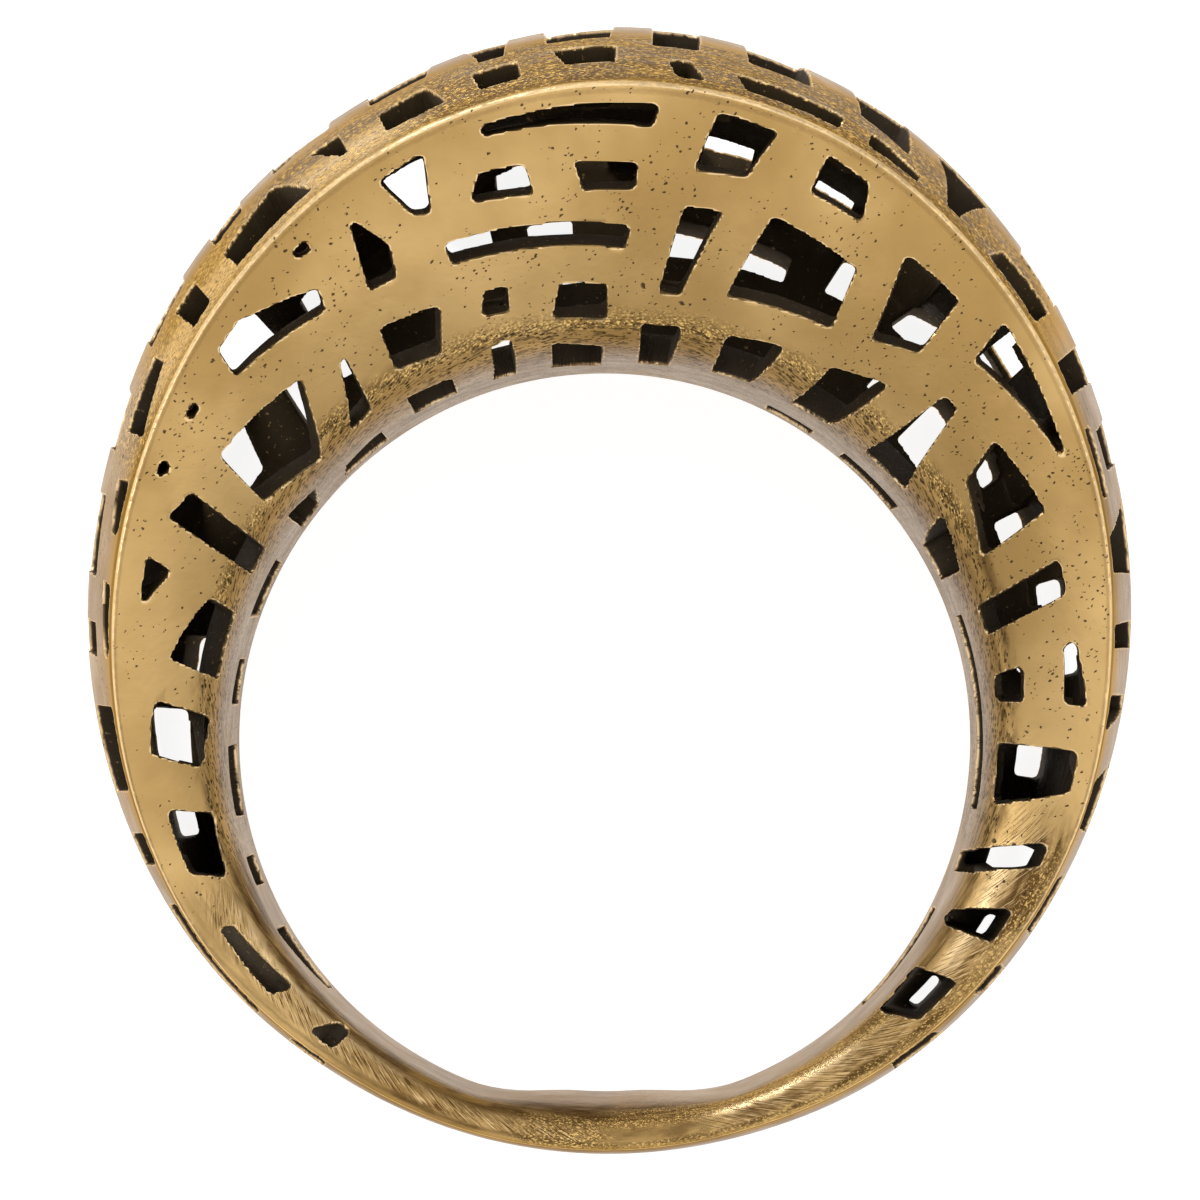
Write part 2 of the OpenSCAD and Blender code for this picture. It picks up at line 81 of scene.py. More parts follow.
# clock angle from the dome's top, then heights of crest, ridge and fold above the finger hole
sections = [
    (-180, 0.95, 0.75, 0.10), (-160, 1.00, 0.85, 0.10), (-140, 1.30, 1.05, 0.12),
    (-120, 1.85, 1.45, 0.25), (-100, 2.55, 1.90, 0.38), (-80, 3.45, 2.50, 0.50),
    (-60, 4.55, 3.30, 0.62), (-40, 5.95, 4.30, 0.70), (-20, 7.10, 5.25, 0.70),
    (0, 7.75, 5.80, 0.70), (20, 7.35, 5.60, 0.75), (40, 6.20, 4.75, 0.75),
    (60, 4.80, 3.75, 0.75), (80, 3.65, 2.80, 0.58), (100, 2.70, 2.15, 0.42),
    (120, 2.00, 1.55, 0.30), (140, 1.50, 1.15, 0.15), (160, 1.10, 0.82, 0.10),
]
heights = np.array(sections)[:, 1:]
lapCount = 6


def heightAt(clock, column):  # smooth curve through the rows, which are 20 degrees apart
    row = (np.asarray(clock, float) + 180) / 20
    i = np.floor(row).astype(int)
    t = row - i
    a, b, c, d = (heights[(i + k) % len(sections), column] for k in (-1, 0, 1, 2))
    return b + t / 2 * (c - a + t * (2 * a - 5 * b + 4 * c - d + t * (3 * (b - c) + d - a)))


def smooth(x, low, high):
    t = np.clip((np.asarray(x, float) - low) / (high - low), 0, 1)
    return t * t * (3 - 2 * t)


# A lap counts once round the section: -1 crest, 0 front ridge, 1 front fold, 2 middle of the
# finger hole, 3 rear fold, 4 rear ridge, 5 the crest again. A section gives r, the distance
# from the finger axis, and v, the place along it
def sharpSection(clock, lap):
    lap = np.where(lap > 5, lap - lapCount, np.where(lap < -1, lap + lapCount, lap))
    side = np.where(lap > 2, -1.0, 1.0)
    q = np.where(lap > 2, 4 - lap, lap)  # the rear half is the front half mirrored
    crest, ridge, fold = (boreRadius + heightAt(clock, k) for k in (0, 1, 2))
    lean = math.tan(math.radians(ring["sideLean"]))
    width = ring["midHalfWidth"] + lean * ridge * np.cos(np.radians(clock))
    sag = crest - ridge
    arc = (width ** 2 + sag ** 2) / (2 * sag)
    vDome = width * (1 + q)
    rDome = crest - arc + np.sqrt(np.maximum(arc ** 2 - vDome ** 2, 0))
    a, b = (math.tan(math.radians(ring[k])) for k in ("ridgeSlope", "foldSlope"))
    face = ridge - fold
    rFace = ridge - q * face
    vFace = width - face * (a * q + (b - a) * q * q / 2)
    t = q - 1
    foldV = width - face * (a + b) / 2
    straight = ring["straightShare"] * width
    curved = ring["flareShare"]
    turn = np.radians(ring["flareFrom"] + (90 - ring["flareFrom"]) * np.clip(t / curved, 0, 1))
    first = math.radians(ring["flareFrom"])
    along = 1 - np.maximum(t - curved, 0) / (1 - curved)
    rFlare = fold - (fold - boreRadius) / (1 - math.sin(first)) * (np.sin(turn) - math.sin(first))
    vFlare = straight * along + (foldV - straight) / math.cos(first) * np.cos(turn)
    away = np.abs((clock + 180) % 360 - 180)
    swell = ring["shankSwell"] * smooth(away, ring["swellFrom"], ring["swellTo"])
    rFlare = rFlare - swell * (1 - 0.6 * (1 - along) ** 2) * smooth(t, 0.1, curved)
    r = np.where(q < 0, rDome, np.where(q < 1, rFace, rFlare))
    v = np.where(q < 0, vDome, np.where(q < 1, vFace, vFlare))
    return r, v * side


def section(clock, lap):  # the corners of the thin band are averaged away
    clock, lap = np.broadcast_arrays(np.asarray(clock, float), np.asarray(lap, float))
    away = np.abs((clock + 180) % 360 - 180)
    reach = ring["wornRound"] * smooth(away, ring["wornFrom"], ring["wornTo"])
    if not reach.any():
        return sharpSection(clock, lap)
    rows = [sharpSection(clock, lap + k * reach) for k in (-1, -0.5, 0, 0.5, 1)]
    return sum(r for r, v in rows) / 5, sum(v for r, v in rows) / 5


def normalAt(clock, lap):  # in the plane of the section, out of the metal
    r1, v1 = section(clock, lap - 0.01)
    r2, v2 = section(clock, lap + 0.01)
    dr, dv = r2 - r1, v2 - v1
    size = np.hypot(dr, dv)
    return dv / size, -dr / size


def place(clock, r, v):
    c = np.radians(clock)
    return np.stack([r * np.sin(c), r * np.cos(c), v + 0 * c], -1)


# Each gap is the (clock, lap) of its four corners in order
frontGaps = [
    [(-21.9, 0.12), (-17.0, 0.10), (-18.1, 0.37), (-19.8, 0.34)],
    [(-11.2, 0.085), (4.9, 0.085), (4.3, 0.18), (-11.5, 0.13)],
    [(-12.4, 0.28), (-7.9, 0.30), (-7.4, 0.43), (-13.9, 0.395)],
    [(-3.0, 0.32), (3.2, 0.335), (3.1, 0.445), (-2.2, 0.445)],
    [(10.2, 0.08), (15.7, 0.09), (13.9, 0.315), (8.8, 0.335)],
    [(20.7, 0.09), (25.1, 0.11), (26.1, 0.275), (20.3, 0.27)],
    [(-17.7, 0.525), (2.8, 0.595), (2.3, 0.69), (-17.6, 0.625)],
    [(8.4, 0.495), (12.4, 0.485), (9.4, 0.865), (6.8, 0.865)],
    [(17.6, 0.435), (27.7, 0.47), (28.4, 0.77), (15.1, 0.825)],
    [(-14.9, 0.79), (-12.0, 0.795), (-12.4, 0.905), (-15.9, 0.90)],
    [(-5.5, 0.825), (0.2, 0.84), (0.2, 0.99), (-7.0, 0.97)],
    [(-25.9, 0.19), (-23.3, 0.41), (-24.0, 0.565), (-27.3, 0.55)],
    [(-28.3, 0.74), (-20.5, 0.78), (-22.7, 0.995), (-29.1, 0.965)],
    [(-44.3, 0.17), (-40.5, 0.165), (-32.4, 0.47), (-45.0, 0.36)],
    [(-41.0, 0.17), (-32.1, 0.375), (-32.7, 0.49), (-42.0, 0.39)],
    [(-53.0, 0.545), (-39.6, 0.68), (-45.0, 1.21), (-54.5, 0.99)],
    [(-34.6, 0.76), (-33.8, 0.76), (-34.9, 1.15), (-39.2, 1.21)],
    [(-62.4, 0.36), (-58.6, 0.47), (-60.2, 1.33), (-64.4, 1.31)],
    [(-59.5, 0.155), (-57.0, 0.145), (-57.4, 0.25), (-58.6, 0.20)],
    [(-52.6, 0.19), (-49.9, 0.19), (-50.3, 0.255), (-52.0, 0.235)],
    [(-32.5, 0.135), (-30.4, 0.13), (-30.7, 0.195), (-32.1, 0.175)],
    [(-73.8, 0.275), (-67.6, 0.26), (-68.2, 0.50), (-68.9, 0.48)],
    [(-78.9, 0.625), (-69.7, 0.915), (-70.7, 1.29), (-80.7, 1.25)],
    [(31.5, 0.265), (38.4, 0.24), (38.6, 0.59), (33.3, 0.70)],
    [(43.3, 0.12), (58.3, 0.16), (58.0, 0.185), (43.8, 0.385)],
    [(44.3, 0.64), (46.2, 0.635), (49.7, 1.345), (41.6, 1.38)],
    [(52.0, 0.55), (61.9, 0.43), (63.6, 0.995), (53.9, 0.84)],
    [(67.8, 0.42), (71.9, 0.405), (74.2, 1.22), (69.9, 1.235)],
    [(31.0, 0.92), (38.2, 0.83), (35.0, 1.42), (28.6, 1.45)],
    [(16.6, 1.0), (24.3, 0.955), (21.7, 1.45), (16.0, 1.52)],
]
rearGaps = [
    [(-82.0, 3.04), (-76.0, 3.02), (-76.6, 3.37), (-81.6, 3.38)],
    [(-72.5, 3.45), (-66.5, 3.55), (-67.5, 3.88), (-71.5, 3.90)],
    [(-57.0, 3.30), (-52.2, 3.28), (-49.0, 3.68), (-57.5, 3.82)],
    [(-46.2, 3.86), (-39.8, 3.84), (-39.8, 4.03), (-45.8, 4.03)],
    [(-44.2, 3.16), (-41.0, 3.10), (-38.8, 3.62), (-42.6, 3.64)],
    [(-36.5, 3.26), (-30.6, 3.24), (-31.0, 3.42), (-36.2, 3.46)],
    [(-35.4, 3.72), (-28.4, 3.66), (-28.4, 3.88), (-35.0, 3.95)],
    [(-18.6, 3.48), (-12.9, 3.47), (-12.9, 3.72), (-18.4, 3.75)],
    [(-22.4, 3.88), (-17.6, 3.88), (-17.4, 4.03), (-22.2, 4.03)],
    [(-16.8, 2.90), (-13.2, 2.90), (-13.4, 3.13), (-16.4, 3.13)],
    [(-11.3, 3.80), (-6.8, 3.80), (-6.6, 3.95), (-11.0, 3.95)],
    [(-8.7, 3.43), (-3.7, 3.43), (-3.6, 3.63), (-8.8, 3.64)],
    [(-6.0, 3.25), (1.6, 3.27), (1.0, 3.36), (-5.0, 3.36)],
    [(6.6, 3.40), (21.7, 3.43), (21.6, 3.57), (6.8, 3.58)],
    [(20.5, 3.76), (26.0, 3.76), (25.9, 3.96), (21.0, 3.96)],
    [(26.4, 3.50), (30.0, 3.52), (29.6, 3.78), (27.0, 3.76)],
    [(35.0, 3.58), (40.8, 3.57), (40.2, 3.85), (36.2, 3.77)],
    [(37.0, 3.18), (42.0, 3.22), (41.0, 3.42), (37.4, 3.38)],
    [(44.8, 3.06), (50.3, 3.02), (50.2, 3.48), (45.0, 3.50)],
    [(44.0, 3.74), (49.0, 3.72), (48.5, 3.97), (44.5, 3.97)],
    [(53.8, 3.38), (57.2, 3.36), (57.0, 3.58), (54.0, 3.60)],
    [(61.6, 3.33), (65.2, 3.33), (65.0, 3.66), (61.8, 3.67)],
    [(71.0, 3.62), (76.0, 3.60), (75.6, 3.88), (71.2, 3.90)],
]
domeGaps = [
    [(-105.1, -0.65), (-101.2, -0.65), (-101.1, -0.07), (-105.1, -0.07)],
    [(-95.9, -0.60), (-86.0, -0.62), (-85.8, -0.07), (-95.6, -0.07)],
    [(-80.3, -0.13), (-72.0, -0.20), (-72.3, -0.07), (-79.8, -0.07)],
    [(-66.8, -0.16), (-61.5, -0.24), (-61.1, -0.07), (-66.6, -0.07)],
    [(-56.8, -0.32), (-49.4, -0.34), (-49.1, -0.18), (-56.3, -0.07)],
    [(-44.9, -0.36), (-41.7, -0.36), (-41.6, -0.07), (-44.4, -0.07)],
    [(-37.9, -0.25), (-30.8, -0.37), (-27.6, -0.07), (-37.3, -0.07)],
    [(-27.0, -0.37), (-23.7, -0.35), (-23.4, -0.12), (-24.0, -0.14)],
    [(-19.8, -0.30), (-15.4, -0.34), (-13.9, -0.12), (-19.5, -0.11)],
    [(-11.3, -0.28), (-7.4, -0.28), (-7.2, -0.115), (-10.7, -0.115)],
    [(-4.4, -0.32), (0.8, -0.32), (0.8, -0.155), (-3.3, -0.155)],
    [(5.3, -0.20), (7.0, -0.22), (8.6, -0.07), (6.1, -0.07)],
    [(11.0, -0.19), (20.8, -0.19), (20.7, -0.07), (12.3, -0.07)],
    [(23.5, -0.20), (28.9, -0.14), (28.9, -0.07), (23.7, -0.07)],
    [(29.3, -0.66), (36.0, -0.66), (33.7, -0.10), (32.4, -0.10)],
    [(39.0, -0.25), (45.9, -0.34), (45.4, -0.07), (38.0, -0.07)],
    [(50.2, -0.90), (53.8, -0.92), (53.0, -0.07), (49.8, -0.07)],
    [(56.7, -0.17), (63.7, -0.17), (63.7, -0.07), (56.7, -0.07)],
    [(64.4, -0.62), (72.3, -0.62), (71.3, -0.07), (67.7, -0.07)],
    [(77.2, -0.66), (80.0, -0.66), (79.3, -0.07), (76.9, -0.07)],
    [(85.0, -0.55), (86.4, -0.55), (88.5, -0.07), (84.6, -0.07)],
    [(92.0, -0.60), (100.8, -0.60), (100.2, -0.07), (94.5, -0.07)],
    [(-80.2, -0.92), (-76.8, -0.88), (-76.8, -0.31), (-80.3, -0.30)],
    [(-71.8, -0.95), (-64.0, -1.00), (-63.7, -0.40), (-71.8, -0.35)],
    [(-59.2, -1.05), (-53.0, -1.02), (-53.9, -0.47), (-59.2, -0.44)],
    [(-48.8, -0.96), (-42.0, -1.02), (-42.5, -0.50), (-49.0, -0.46)],
    [(-38.4, -1.02), (-34.0, -0.94), (-34.4, -0.46), (-38.0, -0.42)],
    [(-30.0, -0.95), (-23.6, -1.04), (-24.3, -0.55), (-30.3, -0.53)],
    [(-20.3, -0.98), (-14.2, -0.92), (-15.1, -0.48), (-20.2, -0.46)],
    [(-11.9, -0.90), (-7.6, -0.98), (-8.4, -0.38), (-10.4, -0.38)],
    [(-5.0, -1.04), (1.0, -0.96), (0.3, -0.43), (-4.7, -0.41)],
    [(3.9, -0.94), (7.6, -0.90), (7.7, -0.34), (3.9, -0.33)],
    [(11.0, -0.98), (16.0, -1.02), (17.4, -0.33), (12.0, -0.34)],
    [(20.0, -0.96), (25.8, -0.90), (27.3, -0.23), (22.2, -0.30)],
    [(40.2, -0.98), (46.2, -0.94), (45.8, -0.48), (40.4, -0.44)],
    [(57.0, -0.90), (61.5, -0.96), (61.4, -0.26), (57.6, -0.26)],
    [(-96.0, 4.10), (-88.0, 4.08), (-89.0, 4.75), (-96.5, 4.80)],
    [(-60.0, 4.10), (-51.0, 4.10), (-50.0, 4.42), (-59.0, 4.38)],
    [(-46.0, 3.98), (-39.6, 3.98), (-39.9, 4.50), (-45.4, 4.46)],
    [(-22.4, 3.98), (-17.4, 3.98), (-17.6, 4.44), (-22.0, 4.44)],
    [(-9.5, 4.08), (0.5, 4.08), (-1.5, 4.34), (-8.5, 4.40)],
    [(9.4, 4.03), (14.6, 4.03), (14.4, 4.31), (9.8, 4.31)],
    [(20.8, 4.03), (25.4, 4.03), (25.2, 4.30), (21.2, 4.30)],
    [(31.5, 4.08), (36.5, 4.08), (37.0, 4.50), (32.0, 4.44)],
    [(44.8, 4.07), (49.0, 4.07), (48.4, 4.86), (45.2, 4.86)],
    [(55.0, 4.08), (61.0, 4.08), (60.0, 4.38), (56.0, 4.42)],
    [(68.0, 4.08), (73.5, 4.08), (73.0, 4.60), (69.0, 4.55)],
    [(84.8, 4.10), (90.0, 4.10), (89.8, 4.66), (85.4, 4.62)],
    [(-51.5, 4.54), (-46.0, 4.58), (-47.0, 4.88), (-52.0, 4.84)],
    [(-33.0, 4.50), (-25.5, 4.52), (-26.5, 4.86), (-33.0, 4.88)],
    [(-16.0, 4.50), (-8.0, 4.54), (-9.0, 4.84), (-15.0, 4.88)],
    [(3.0, 4.48), (8.0, 4.52), (8.5, 4.88), (3.5, 4.90)],
    [(18.0, 4.52), (25.5, 4.52), (24.5, 4.90), (19.0, 4.84)],
    [(37.4, 4.50), (43.0, 4.52), (42.8, 4.86), (38.2, 4.88)],
]
linerGaps = [
    [(-101.5, 1.70), (-91.0, 1.72), (-91.2, 2.25), (-102.1, 2.25)],
    [(-84.5, 1.84), (-77.7, 1.92), (-77.8, 2.25), (-84.8, 2.25)],
    [(-70.8, 1.85), (-61.3, 1.87), (-61.9, 2.30), (-70.6, 2.30)],
    [(-54.3, 1.36), (-48.8, 1.48), (-51.0, 2.20), (-55.3, 2.25)],
    [(-43.2, 1.80), (-35.7, 1.57), (-36.2, 2.20), (-44.8, 2.20)],
    [(-29.7, 1.28), (-22.7, 1.31), (-23.0, 1.82), (-30.0, 1.80)],
    [(-15.8, 1.10), (-13.0, 1.09), (-13.6, 1.84), (-17.1, 1.82)],
    [(-7.5, 1.21), (-0.4, 1.30), (-0.6, 1.95), (-8.0, 1.87)],
    [(5.0, 1.02), (10.4, 1.02), (9.3, 1.70), (5.1, 1.75)],
    [(26.0, 2.05), (34.2, 2.03), (34.2, 2.30), (26.4, 2.30)],
    [(40.0, 1.98), (51.6, 1.90), (51.6, 2.35), (40.1, 2.35)],
    [(55.8, 1.15), (64.0, 1.30), (64.7, 2.02), (58.8, 2.02)],
    [(70.5, 1.70), (100.3, 1.60), (100.8, 2.00), (70.8, 2.02)],
]
# depth first: cut along the finger axis, where the band is thin
axialGaps = [
    (4.4, [(77.7, 0.34), (85.6, 0.21), (85.0, 0.45), (78.0, 0.455)]),
    (4.4, [(78.6, 3.78), (82.8, 3.78), (82.6, 4.04), (79.0, 4.04)]),
    (4.4, [(79.5, 0.855), (84.4, 0.87), (83.8, 1.2), (80.2, 1.2)]),
    (4.4, [(77.4, 3.34), (81.6, 3.34), (81.4, 3.55), (77.6, 3.55)]),
    (4.2, [(-91.3, 0.345), (-84.5, 0.46), (-86.3, 1.14), (-93.5, 0.97)]),
    (4.4, [(-94.6, 3.50), (-86.6, 3.46), (-86.4, 3.96), (-94.4, 3.97)]),
    (4.4, [(-107.5, 0.39), (-98.7, 0.39), (-100.2, 1.0), (-109.6, 0.91)]),
    (4.2, [(-103.8, 3.60), (-99.8, 3.58), (-99.6, 3.92), (-103.6, 3.95)]),
    (4.4, [(91.0, 0.235), (96.0, 0.225), (99.2, 1.14), (90.0, 1.19)]),
    (4.4, [(91.0, 3.36), (95.6, 3.36), (95.8, 3.72), (91.2, 3.72)]),
    (4.6, [(91.8, 3.92), (97.0, 3.92), (96.8, 4.12), (92.0, 4.12)]),
    (4.2, [(102.7, 0.27), (105.9, 0.26), (109.6, 1.2), (106.0, 1.2)]),
    (4.2, [(104.6, 3.30), (109.2, 3.32), (108.0, 4.10), (104.6, 4.10)]),
    (3.6, [(112.2, 0.30), (117.3, 0.30), (118.4, 1.25), (116.0, 1.25)]),
    (3.6, [(114.4, 3.60), (118.0, 3.60), (118.2, 4.14), (114.6, 4.14)]),
    (3.2, [(124.2, 0.35), (131.5, 0.38), (134.8, 1.14), (126.0, 1.22)]),
    (3.2, [(125.6, 3.45), (131.2, 3.45), (130.8, 3.84), (126.0, 3.84)]),
]
recesses = [
    (1.6, [(-127.0, 0.41), (-115.5, 0.41), (-116.4, 0.65), (-128.4, 0.86)]),
    (1.2, [(-138.4, 0.41), (-134.0, 0.42), (-136.9, 1.05), (-138.8, 1.05)]),
    (0.5, [(-128.0, -0.45), (-110.7, -0.45), (-110.7, -0.07), (-127.8, -0.07)]),
    (0.4, [(-139.0, -0.50), (-133.6, -0.50), (-133.6, -0.06), (-139.0, -0.06)]),
    (0.5, [(106.0, -0.45), (114.5, -0.45), (113.8, -0.10), (106.8, -0.10)]),
    (0.5, [(120.0, -0.60), (123.2, -0.60), (124.3, -0.07), (119.3, -0.07)]),
    (0.4, [(130.2, -0.50), (138.6, -0.50), (138.2, -0.06), (131.6, -0.06)]),
    (0.4, [(-112.5, 1.60), (-108.2, 1.62), (-108.4, 2.20), (-113.1, 2.20)]),
    (0.4, [(-132.0, 1.98), (-119.8, 1.45), (-120.5, 2.20), (-132.6, 2.25)]),
    (0.4, [(106.0, 1.15), (109.5, 1.15), (110.8, 1.95), (107.5, 1.95)]),
    (0.4, [(117.3, 2.02), (136.0, 2.10), (136.0, 2.35), (117.5, 2.35)]),
]


def deselect():
    if bpy.context.mode != "OBJECT":
        bpy.ops.object.mode_set(mode="OBJECT")
    bpy.ops.object.select_all(action="DESELECT")


def shape(obj, points):
    obj.data.vertices.foreach_set("co", np.asarray(points, float).reshape(-1))
    obj.data.update()


def applied(obj, kind, **settings):
    deselect()
    bpy.context.view_layer.objects.active = obj
    obj.select_set(True)
    mod = obj.modifiers.new(kind.lower(), kind)
    for name, value in settings.items():
        setattr(mod, name, value)
    bpy.ops.object.modifier_apply(modifier=mod.name)


def outwards(obj):
    deselect()
    bpy.context.view_layer.objects.active = obj
    bpy.ops.object.mode_set(mode="EDIT")
    bpy.ops.mesh.select_all(action="SELECT")
    bpy.ops.mesh.normals_make_consistent(inside=False)
    bpy.ops.object.mode_set(mode="OBJECT")


def makeSkin():
    turns, girth = ring["turns"], ring["girth"]
    deselect()
    bpy.ops.mesh.primitive_torus_add(major_segments=turns, minor_segments=girth)
    skin = bpy.context.object
    clock = np.repeat(np.arange(turns) * 360 / turns - 180, girth)
    lap = np.tile(np.arange(girth) * lapCount / girth - 1, turns)
    r, v = section(clock, lap)
    shape(skin, place(clock, r, v))
    outwards(skin)
    return skin


def makeHollow():  # the skin's section moved in by the wall, down to the liner
    turns, wall = ring["hollowTurns"], ring["wall"]
    clock = np.arange(turns) * 360 / turns - 180
    crest, ridge = (boreRadius + heightAt(clock, k) for k in (0, 1))
    liner = 0 * clock + boreRadius + ring["liner"]
    width = section(clock, 0)[1]
    rows = []
    for lap in (-0.9, -0.7, -0.5, -0.3):
        r, v = section(clock, lap)
        nr, nv = normalAt(clock, lap)
        rows.append((r - wall * nr, v - wall * nv))
    # the corner under the ridge, a point on the side face, and the corner at the liner
    rows.append((ridge - 0.85 * wall, width - 1.15 * wall))
    r, v = section(clock, 0.75)
    nr, nv = normalAt(clock, 0.75)
    rows.append((np.minimum(r - wall * nr, rows[-1][0] - 0.1), v - wall * nv))
    rows.append((liner, section(clock, 0.999)[1] - 1.3 * wall))
    top = [(crest - wall, 0 * clock)]
    low = [(liner, 0 * clock)]
    rows = top + rows + low + [(r, -v) for r, v in rows[::-1]]
    deselect()
    bpy.ops.mesh.primitive_torus_add(major_segments=turns, minor_segments=len(rows))
    hollow = bpy.context.object
    shape(hollow, np.stack([place(clock, r, v) for r, v in rows], 1))
    bpy.ops.object.mode_set(mode="EDIT")
    bpy.ops.mesh.select_all(action="SELECT")
    cutAt = (0, ring["hollowDownTo"], 0)
    bpy.ops.mesh.bisect(plane_co=cutAt, plane_no=(0, 1, 0), clear_inner=True, use_fill=True)
    outwards(hollow)
    return hollow


def roundCutter(cutter, wide, high):  # its upright edges rounded, and cut in steps to bend
    bpy.ops.object.mode_set(mode="EDIT")
    mesh = bmesh.from_edit_mesh(cutter.data)
    for edge in mesh.edges:
        a, b = (p.co for p in edge.verts)
        edge.select_set(abs(a.z - b.z) > 0.5)
    mesh.select_flush_mode()
    bmesh.update_edit_mesh(cutter.data)
    bpy.ops.mesh.bevel(offset=ring["cornerRound"], segments=ring["cornerSteps"], affect="EDGES")
    for axis, length in ((0, wide), (1, high)):
        steps = int(length / ring["cutterStep"])
        for k in range(1, steps + 1):
            bpy.ops.mesh.select_all(action="SELECT")
            at = Vector((0, 0, 0))
            at[axis] = length * (k / (steps + 1) - 0.5)
            no = Vector((0, 0, 0))
            no[axis] = 1
            bpy.ops.mesh.bisect(plane_co=at, plane_no=no)
    bpy.ops.object.mode_set(mode="OBJECT")


def makeCutter(corners, depth, axial=False):
    # a cube at the gap's size, bent onto the skin between the gap's four corners
    c = np.array(corners)
    mid = c.mean(0)
    r, v = section(mid[0], mid[1])
    perClock = math.radians(1) * float(r)
    d = np.subtract(section(mid[0], mid[1] + 0.05), section(mid[0], mid[1] - 0.05))
    perLap = float(np.hypot(*d)) / 0.1
    size = np.array([perClock, perLap])
    across = [np.hypot(*((c[b] - c[a]) * size)) for a, b in ((0, 1), (1, 2), (2, 3), (3, 0))]
    wide = (across[0] + across[2]) / 2
    high = (across[1] + across[3]) / 2
    deselect()
    bpy.ops.mesh.primitive_cube_add(size=1)
    cutter = bpy.context.object
    points = np.array([tuple(p.co) for p in cutter.data.vertices])
    shape(cutter, points * [wide, high, 1])
    roundCutter(cutter, wide, high)
    points = np.array([tuple(p.co) for p in cutter.data.vertices])
    u = (points[:, 0] / wide + 0.5)[:, None]
    w = (points[:, 1] / high + 0.5)[:, None]
    at = (1 - w) * ((1 - u) * c[0] + u * c[1]) + w * ((1 - u) * c[3] + u * c[2])
    r, v = section(at[:, 0], at[:, 1])
    if axial:
        way = (0.0, 1.0 if mid[1] < 2 else -1.0)
    else:
        way = [float(k) for k in normalAt(mid[0], mid[1])]
    out = np.where(points[:, 2] > 0, ring["proud"], -depth)
    shape(cutter, place(at[:, 0], r + out * way[0], v + out * way[1]))
    outwards(cutter)
    return cutter


def cutAway(body, tool):
    applied(body, "BOOLEAN", operation="DIFFERENCE", object=tool, solver="MANIFOLD")
    bpy.data.objects.remove(tool)


piece = makeSkin()
piece.name = "pierced_ring"
print("skin")
cutAway(piece, makeHollow())
print("hollow")
for gap in domeGaps:
    cutAway(piece, makeCutter(gap, ring["domeCut"]))
for gap in frontGaps + rearGaps:
    cutAway(piece, makeCutter(gap, ring["faceCut"]))
for gap in linerGaps:
    cutAway(piece, makeCutter(gap, ring["linerCut"]))
for depth, gap in axialGaps:
    cutAway(piece, makeCutter(gap, depth, axial=True))
for depth, gap in recesses:
    cutAway(piece, makeCutter(gap, depth))
print("gaps", len(piece.data.polygons))
applied(piece, "REMESH", mode="VOXEL", voxel_size=ring["voxel"], adaptivity=0)
applied(piece, "SMOOTH", factor=0.5, iterations=ring["smoothing"])
count = 2 * len(piece.data.polygons)
print("remeshed", count)
applied(piece, "DECIMATE", ratio=min(1, ring["triangles"] / count))
print("piece", len(piece.data.polygons))

# How deep each point lies under the smooth skin, which lap it belongs to, and how far round
# the section that is from the front ridge
points = np.array([tuple(p.co) for p in piece.data.vertices])
clockAt = np.degrees(np.arctan2(points[:, 0], points[:, 1]))
radiusAt = np.hypot(points[:, 0], points[:, 1])
laps = np.linspace(-1, 5, 121)
ridgeColumn = 20                                # of the laps, where it is 0
depthAt, lapAt, girthAt = (np.empty(len(points)) for k in range(3))
order = np.argsort(np.abs(clockAt))
atOnce = 8000
for start in range(0, len(points), atOnce):
    part = order[start:start + atOnce]
    r, v = section(clockAt[part, None], laps[None, :])
    r1, v1, dr, dv = r[:, :-1], v[:, :-1], np.diff(r), np.diff(v)
    pr, pv = radiusAt[part, None] - r1, points[part, 2, None] - v1
    t = np.clip((pr * dr + pv * dv) / (dr ** 2 + dv ** 2), 0, 1)
    gap = np.hypot(pr - t * dr, pv - t * dv)
    k = np.argmin(gap, 1)
    row = np.arange(len(k))
    depthAt[part] = gap[row, k]
    lapAt[part] = laps[k] + t[row, k] * (laps[1] - laps[0])
    girth = np.concatenate([np.zeros((len(k), 1)), np.cumsum(np.hypot(dr, dv), 1)], 1)
    girthAt[part] = girth[row, k] + t[row, k] * np.hypot(dr, dv)[row, k] - girth[:, ridgeColumn]
# what the remesh left just under the skin goes back onto it, so that rims and ridges are crisp
r, v = section(clockAt, lapAt)
onSkin = depthAt < ring["backOnSkin"]
points[onSkin] = place(clockAt, r, v)[onSkin]
shape(piece, points)
sideLap = np.where(lapAt > 2, 4 - lapAt, lapAt)

